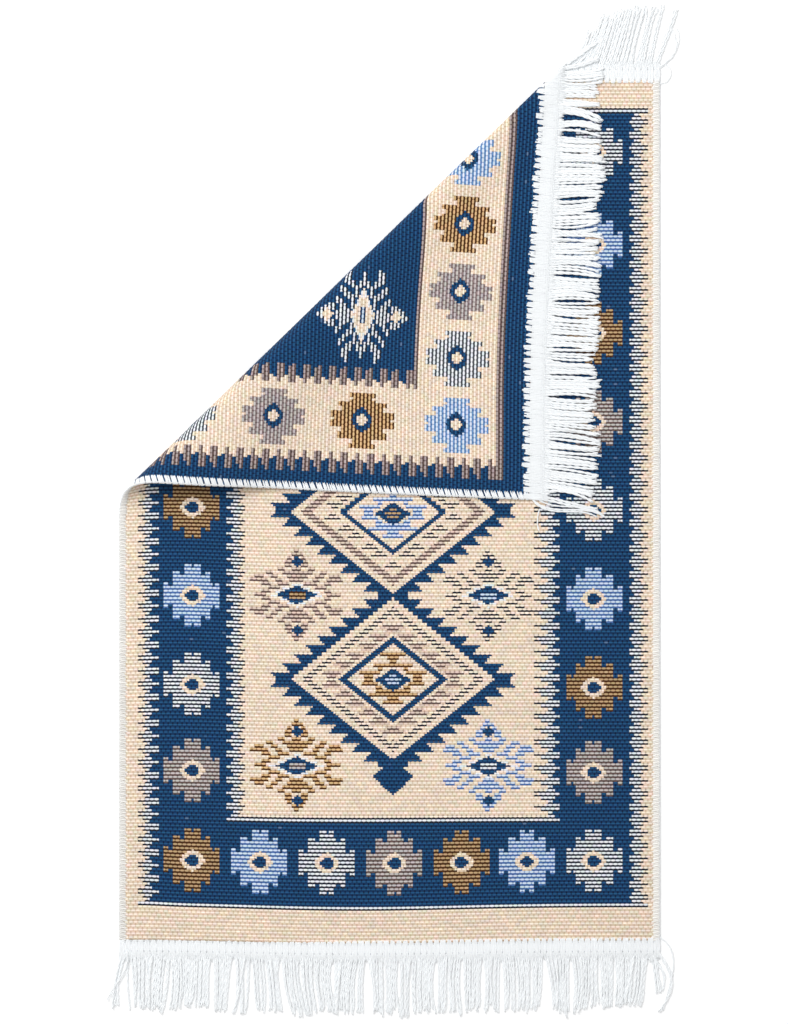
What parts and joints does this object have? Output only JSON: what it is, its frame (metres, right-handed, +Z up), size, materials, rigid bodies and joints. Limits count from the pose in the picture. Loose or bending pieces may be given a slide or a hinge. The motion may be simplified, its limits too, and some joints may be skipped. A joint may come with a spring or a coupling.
{
  "type": "kilim rug",
  "caption": "Small flat-woven rug with fringed ends and overcast sides, lying face up with its upper left part folded over to show the back.",
  "frame": {"origin": "on the floor under the middle of the whole rug, fringes and fold included", "axes": "+X across the rug to its right side, +Y along it towards the end with the fold, +Z up"},
  "size_m": [0.63, 1.116, 0.0371],
  "materials": {
    "cloth": "ribbed flat weave in cream, navy blue, light blue, gold brown and grey brown, its colours swapped on the back",
    "serging": "off-white overcast thread",
    "fringe": "soft white plied yarn"
  },
  "bodies": {
    "root": {"woven_cloth": "cloth", "side_serging_left": "serging", "side_serging_right": "serging", "fringe_top": "fringe", "fringe_bottom": "fringe"}
  },
  "joints": []
}
